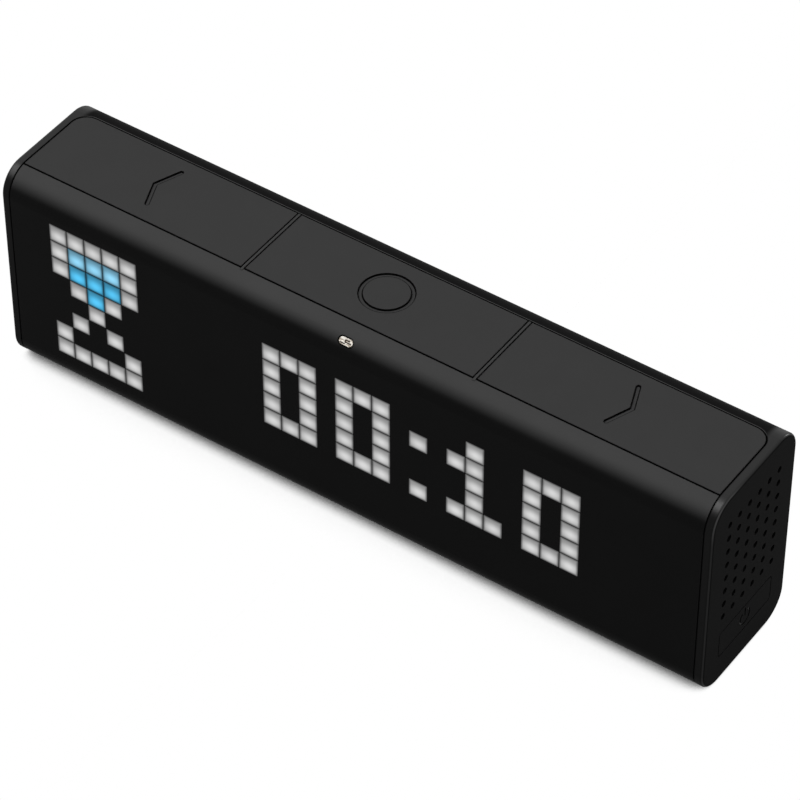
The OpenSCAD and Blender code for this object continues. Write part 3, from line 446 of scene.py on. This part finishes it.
# Rubber feet: four discs of black silicone rubber, glued into round recesses of the floor. The
# front two cover the screws of the front panel.
foot_rubber = moulded(
    "foot_rubber",
    (grey(0.010), grey(0.018)),
    (0.62, 0.78),
    grain=0.0005,
    depth=0.00002,
    constants=matt,
)
dress(foot_rubber, "rubber_feet")


# Screws: zinc-plated steel with a rolled thread. Pan heads with a pressed cross hold the display,
# the key carrier and the boards, and flat heads the tabs of the front panel.
def plated(name, tones, rough, grain, depth):
    """A bright plated metal: its two tones, its range of roughness, and the size and depth of
    its fine marks."""
    material, place = finish(name)
    marks = place.noise(grain, 4.0)
    cloud = place.noise(12 * grain)
    sockets = {
        "Base Color": (0.5 * marks + 0.5 * cloud).mix(*tones),
        "Metallic": 1.0,
        "Roughness": rough[0] + (rough[1] - rough[0]) * cloud,
        "Normal": relief(place, marks, depth, edge=0.00008),
    }
    cover(place, sockets)
    return material


steel = (grey(0.40), grey(0.55))
screw_steel = plated("screw_steel", steel, (0.25, 0.42), grain=0.0002, depth=0.000004)
dress(
    screw_steel,
    "panel_screws",
    "display_screws",
    "carrier_screws",
    "side_board_screws",
    "main_board_screws",
)


# Display stack: a white diffuser film, a black grid with a well for each pixel, and the
# board with one LED in each well, all screwed to the inside of the front panel.
white = (grey(0.70), grey(0.80))
diffuser_white = moulded("diffuser_white", white, (0.55, 0.65), grain=0.0004, depth=0.000004)
dress(diffuser_white, "diffuser_sheet")
soot = (grey(0.008), grey(0.014))
baffle_black = moulded("baffle_black", soot, (0.5, 0.62), grain=0.0004, depth=0.00001)
dress(baffle_black, "pixel_baffle")


def circuit_board(name):
    """Glass-fibre board under green solder mask, with the copper of its tracks just showing."""
    material, place = finish(name)
    cells = {"feature": "DISTANCE_TO_EDGE", "distance": "MANHATTAN"}
    inputs = {"Vector": place, "Scale": 420.0, "Randomness": 0.55}
    routes = place.node("ShaderNodeTexVoronoi", cells, inputs)
    track = 1.0 - routes.step(0.05, 0.09)
    weave = place.noise(0.0006, 3.0)
    mask = (0.7 * weave).mix((0.006, 0.045, 0.022, 1.0), (0.010, 0.070, 0.035, 1.0))
    sockets = {
        "Base Color": (0.55 * track).mix(mask, (0.05, 0.17, 0.06, 1.0)),
        "Roughness": 0.28 + 0.12 * weave,
        "Normal": relief(place, track, depth=0.00003, edge=0.00008),
    }
    cover(place, sockets)
    return material


board_green = circuit_board("board_green")
dress(board_green, "led_board", "switch_board", "power_board", "volume_board", "main_board")
cream = ((0.62, 0.60, 0.50, 1.0), (0.80, 0.78, 0.70, 1.0))
led_package = moulded("led_package", cream, (0.35, 0.5), grain=0.0003, depth=0.000006)
dress(led_package, "display_leds")


# Chips: black epoxy, transfer-moulded over a lead frame, which leaves a fine dull grain. The
# drivers sit on the back of the LED board, the processor on the main board.
epoxy = (grey(0.010), grey(0.020))
chip_black = moulded("chip_black", epoxy, (0.50, 0.66), grain=0.00012, depth=0.000008)
dress(chip_black, "led_drivers", "processor")


# Light sensor: a photo cell in a slot of the front panel's upper curve. Its ceramic face is
# metallised on both sides of a dark track and sealed with clear lacquer.
sensor_ceramic, sensor_place = finish("sensor_ceramic")
along_cell = {"Vector": sensor_place, "Vector_001": (0.3, 1.0, 1.0)}
streaks = sensor_place.node("ShaderNodeVectorMath", {"operation": "MULTIPLY"}, along_cell)
silvering = streaks.noise(0.0005, 3.0).step(0.35, 0.62)
cover(
    sensor_place,
    {
        "Base Color": silvering.mix((0.30, 0.25, 0.19, 1.0), (0.88, 0.84, 0.76, 1.0)),
        "Metallic": 0.4,
        "Roughness": 0.34 - 0.18 * silvering,
        "Coat Weight": 0.6,
        "Coat Roughness": 0.08,
        "Normal": relief(sensor_place, silvering, depth=0.00003, edge=0.00006),
    },
)
dress(sensor_ceramic, "light_sensor")
sensor_track = moulded(
    "sensor_track",
    ((0.012, 0.006, 0.004, 1.0), (0.030, 0.017, 0.011, 1.0)),
    (0.30, 0.42),
    grain=0.0002,
    depth=0.000006,
    constants={"Specular IOR Level": 0.1},
)
dress(sensor_track, "sensor_track")
tin = (grey(0.50), grey(0.62))
tinned_wire = plated("tinned_wire", tin, (0.25, 0.4), grain=0.0002, depth=0.000003)
dress(tinned_wire, "sensor_leads")


# Switches: ivory nylon plungers in black boxes. Those of the top keys stand on a narrow board on
# the grey moulded key carrier, those of the side keys on a board behind each end wall.
ivory = ((0.46, 0.43, 0.37, 1.0), (0.58, 0.55, 0.48, 1.0))
plunger_ivory = moulded("plunger_ivory", ivory, (0.38, 0.48), grain=0.0003, depth=0.000004)
dress(
    plunger_ivory,
    "left_plunger",
    "action_plunger",
    "right_plunger",
    "power_plunger",
    "volume_up_plunger",
    "volume_down_plunger",
)
box_tones = (grey(0.012), grey(0.022))
switch_black = moulded("switch_black", box_tones, (0.42, 0.55), grain=0.0003, depth=0.00001)
dress(switch_black, "key_switches", "power_switch", "volume_switches")
carrier_tones = (grey(0.055), grey(0.075))
carrier_grey = moulded("carrier_grey", carrier_tones, (0.45, 0.58), grain=0.0003, depth=0.00001)
dress(carrier_grey, "key_carrier")


# Parts of the main board: a shielded radio, a wound coil, two capacitors, the sockets of the
# ribbons and the USB inlet, whose drawn steel shell is soldered down around its tongue.
can_tones = (grey(0.42), grey(0.52))
can_steel = plated("can_steel", can_tones, (0.30, 0.45), grain=0.0003, depth=0.000006)
dress(can_steel, "wireless_module")
ferrite_tones = (grey(0.018), grey(0.035))
ferrite = moulded("ferrite", ferrite_tones, (0.55, 0.70), grain=0.0002, depth=0.00002)
dress(ferrite, "power_coil")
aluminium = (grey(0.48), grey(0.60))
capacitor_aluminium = plated(
    "capacitor_aluminium", aluminium, (0.32, 0.45), grain=0.0003, depth=0.000004
)
dress(capacitor_aluminium, "capacitors")
connector_ivory = moulded("connector_ivory", ivory, (0.40, 0.52), grain=0.0003, depth=0.000006)
dress(connector_ivory, "board_connectors")
shell_tones = (grey(0.45), grey(0.60))
usb_steel = plated("usb_steel", shell_tones, (0.20, 0.34), grain=0.0003, depth=0.000004)
dress(usb_steel, "usb_shell")
tongue_tones = (grey(0.010), grey(0.016))
usb_black = moulded("usb_black", tongue_tones, (0.40, 0.50), grain=0.0002, depth=0.000006)
dress(usb_black, "usb_insert")


# Ribbons: flat conductors laminated between two white polyester films. They run from sockets on
# the main board, one to the display and one to the switches of the top keys.
ribbon_pitch = 0.001
ribbon_tones = ((0.66, 0.64, 0.58, 1.0), (0.45, 0.44, 0.41, 1.0))
ribbon_white, ribbon_place = finish("ribbon_white")
ribbon_x = ribbon_place.split()["X"]
conductor = 1.0 - abs((ribbon_x / ribbon_pitch).fract() - 0.5).step(0.18, 0.30)
film = ribbon_place.noise(0.0006)
cover(
    ribbon_place,
    {
        "Base Color": (0.75 * conductor + 0.1 * film).mix(*ribbon_tones),
        "Roughness": 0.30 + 0.10 * film,
        "Normal": relief(ribbon_place, conductor, depth=0.00003, edge=0.00005),
    },
)
dress(ribbon_white, "display_ribbon", "key_ribbon")


# Speakers: a black frame, a paper cone with a dust cap, a plated magnet and a foam gasket
# that seals each one to its end wall behind the grille.
frame_tones = (grey(0.016), grey(0.026))
speaker_frame = moulded("speaker_frame", frame_tones, (0.45, 0.58), grain=0.0003, depth=0.00001)
dress(speaker_frame, "left_speaker_frame", "right_speaker_frame")
paper = (grey(0.012), grey(0.030))
speaker_cone = moulded("speaker_cone", paper, (0.75, 0.90), grain=0.0004, depth=0.00006)
dress(speaker_cone, "left_speaker_cone", "right_speaker_cone")
nickel = (grey(0.32), grey(0.45))
speaker_magnet = plated("speaker_magnet", nickel, (0.30, 0.5), grain=0.0003, depth=0.000006)
dress(speaker_magnet, "left_speaker_magnet", "right_speaker_magnet")
foam = (grey(0.015), grey(0.045))
gasket_foam = moulded("gasket_foam", foam, (0.85, 0.97), grain=0.0005, depth=0.0001)
dress(gasket_foam, "left_speaker_gasket", "right_speaker_gasket")


# Wires: soft insulated leads in pairs, soldered at both ends. They run from the main board, the
# red ones to the speakers and the pale ones to the boards of the side keys.
red = ((0.26, 0.014, 0.010, 1.0), (0.34, 0.022, 0.016, 1.0))
wire_red = moulded("wire_red", red, (0.34, 0.44), grain=0.0005, depth=0.000006)
dress(wire_red, "speaker_wires")
wire_white = moulded("wire_white", ivory, (0.34, 0.44), grain=0.0005, depth=0.000006)
dress(wire_white, "side_board_wires")


# Floor: a plain pale table top. Seen directly or in a reflection it is white and keeps the
# object's contact shadow, and far from the object it runs out into the white of the backdrop.
# The light that it throws back is that of a grey table.
floor_radius = 6.0
floor_mesh = bmesh.new()
bmesh.ops.create_circle(floor_mesh, cap_ends=True, segments=128, radius=floor_radius)
floor_data = bpy.data.meshes.new("floor")
floor_mesh.to_mesh(floor_data)
floor_mesh.free()
floor = bpy.data.objects.new("floor", floor_data)
bpy.context.scene.collection.objects.link(floor)


def in_sight(rays):
    """1 for the rays that show a surface, straight, mirrored or through a clear piece."""
    return rays["Is Camera Ray"].most(rays["Is Glossy Ray"]).most(rays["Is Transmission Ray"])


table_tone = grey(0.3)
shadow_reach = 0.05
shadow_range = (0.13, 0.55)
backdrop_range = (0.4, 1.0)
floor_pale, floor_place = finish("floor_pale")
floor_rays = floor_place.node("ShaderNodeLightPath", {}, {})
reach = floor_place.node("ShaderNodeVectorMath", {"operation": "LENGTH"}, {"Vector": floor_place})
table = floor_place.node("ShaderNodeBsdfDiffuse", {}, {"Color": table_tone})
# The contact shadow is that of light which comes a little from the right
towards_window = floor_place.node("ShaderNodeCombineXYZ", {}, {"X": 0.20, "Z": 0.98})
window = {"Distance": shadow_reach, "Normal": towards_window}
openness = floor_place.node("ShaderNodeAmbientOcclusion", {"samples": 16}, window)["AO"]
# In a reflection the table is a little darker than the backdrop, and darkest by the object
mirrored = 0.3 + 0.6 * openness
shaded = floor_rays["Is Camera Ray"].mix(mirrored, openness.step(*shadow_range))
table_white = reach["Value"].step(*backdrop_range).mix(shaded, grey(1.0))
shown = floor_place.node("ShaderNodeEmission", {}, {"Color": table_white, "Strength": 1.0})
table_top = {"Fac": in_sight(floor_rays), "Shader": table, "Shader_001": shown}
surface = floor_place.node("ShaderNodeMixShader", {}, table_top)
floor_place.node("ShaderNodeOutputMaterial", {}, {"Surface": surface})
floor_data.materials.append(floor_pale)


# Light: a softbox above and a little to the front, another above to the left, a weak one low
# behind, and a weak even fill from the room, which is white where it is seen.
world = bpy.data.worlds.new("room")
bpy.context.scene.world = world
world.use_nodes = True
world.node_tree.nodes.clear()
room_rays = Wire(world.node_tree.nodes.new("ShaderNodeLightPath").outputs["Is Camera Ray"])
fill = room_rays.node("ShaderNodeBackground", {}, {"Color": grey(1.0), "Strength": 0.06})
backdrop = room_rays.node("ShaderNodeBackground", {}, {"Color": grey(1.0), "Strength": 1.0})
walls = {"Fac": in_sight(room_rays), "Shader": fill, "Shader_001": backdrop}
room = room_rays.node("ShaderNodeMixShader", {}, walls)
room_rays.node("ShaderNodeOutputWorld", {}, {"Surface": room})


def softbox(name, towards, distance, size, level):
    """A square softbox in that direction, which lights a surface that faces it to that level."""
    lamp = bpy.data.lights.new(name, "AREA")
    lamp.shape = "SQUARE"
    lamp.size = size
    lamp.energy = level * math.pi**2 * distance**2
    holder = bpy.data.objects.new(name, lamp)
    away = Vector(towards).normalized()
    holder.location = away * distance
    holder.rotation_euler = away.to_track_quat("Z", "Y").to_euler()
    holder.visible_camera = False
    bpy.context.scene.collection.objects.link(holder)


softbox("overhead_softbox", (0.05, -0.35, 1.0), distance=1.1, size=0.90, level=0.55)
softbox("left_softbox", (-0.50, -0.25, 0.85), distance=1.6, size=1.16, level=0.65)
softbox("low_softbox", (0.30, 1.0, 0.14), distance=1.2, size=0.30, level=0.28)


# Camera: the photograph's angle, with a long lens. The middle of the picture looks at a point
# a little to the right of the body's underside and above it, in the plane of the picture.
azimuth = math.radians(34.81)
elevation = math.radians(44.08)
picture_px = 800
focal_px = 4091.0
camera_distance = 0.99153
look_right = 0.003156
look_up = 0.018719
back = Vector(
    (
        math.sin(azimuth) * math.cos(elevation),
        -math.cos(azimuth) * math.cos(elevation),
        math.sin(elevation),
    )
)
right = Vector((math.cos(azimuth), math.sin(azimuth), 0.0))
up = back.cross(right)
underside = Vector((0.0, 0.0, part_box("rear_housing")[0].z))
camera_data = bpy.data.cameras.new("camera")
camera_data.sensor_width = 36.0
camera_data.lens = focal_px * camera_data.sensor_width / picture_px
camera = bpy.data.objects.new("camera", camera_data)
camera.location = underside + right * look_right + up * look_up + back * camera_distance
camera.rotation_euler = back.to_track_quat("Z", "Y").to_euler()
bpy.context.scene.collection.objects.link(camera)
bpy.context.scene.camera = camera
bpy.context.scene.view_settings.view_transform = "Standard"

bpy.context.view_layer.update()
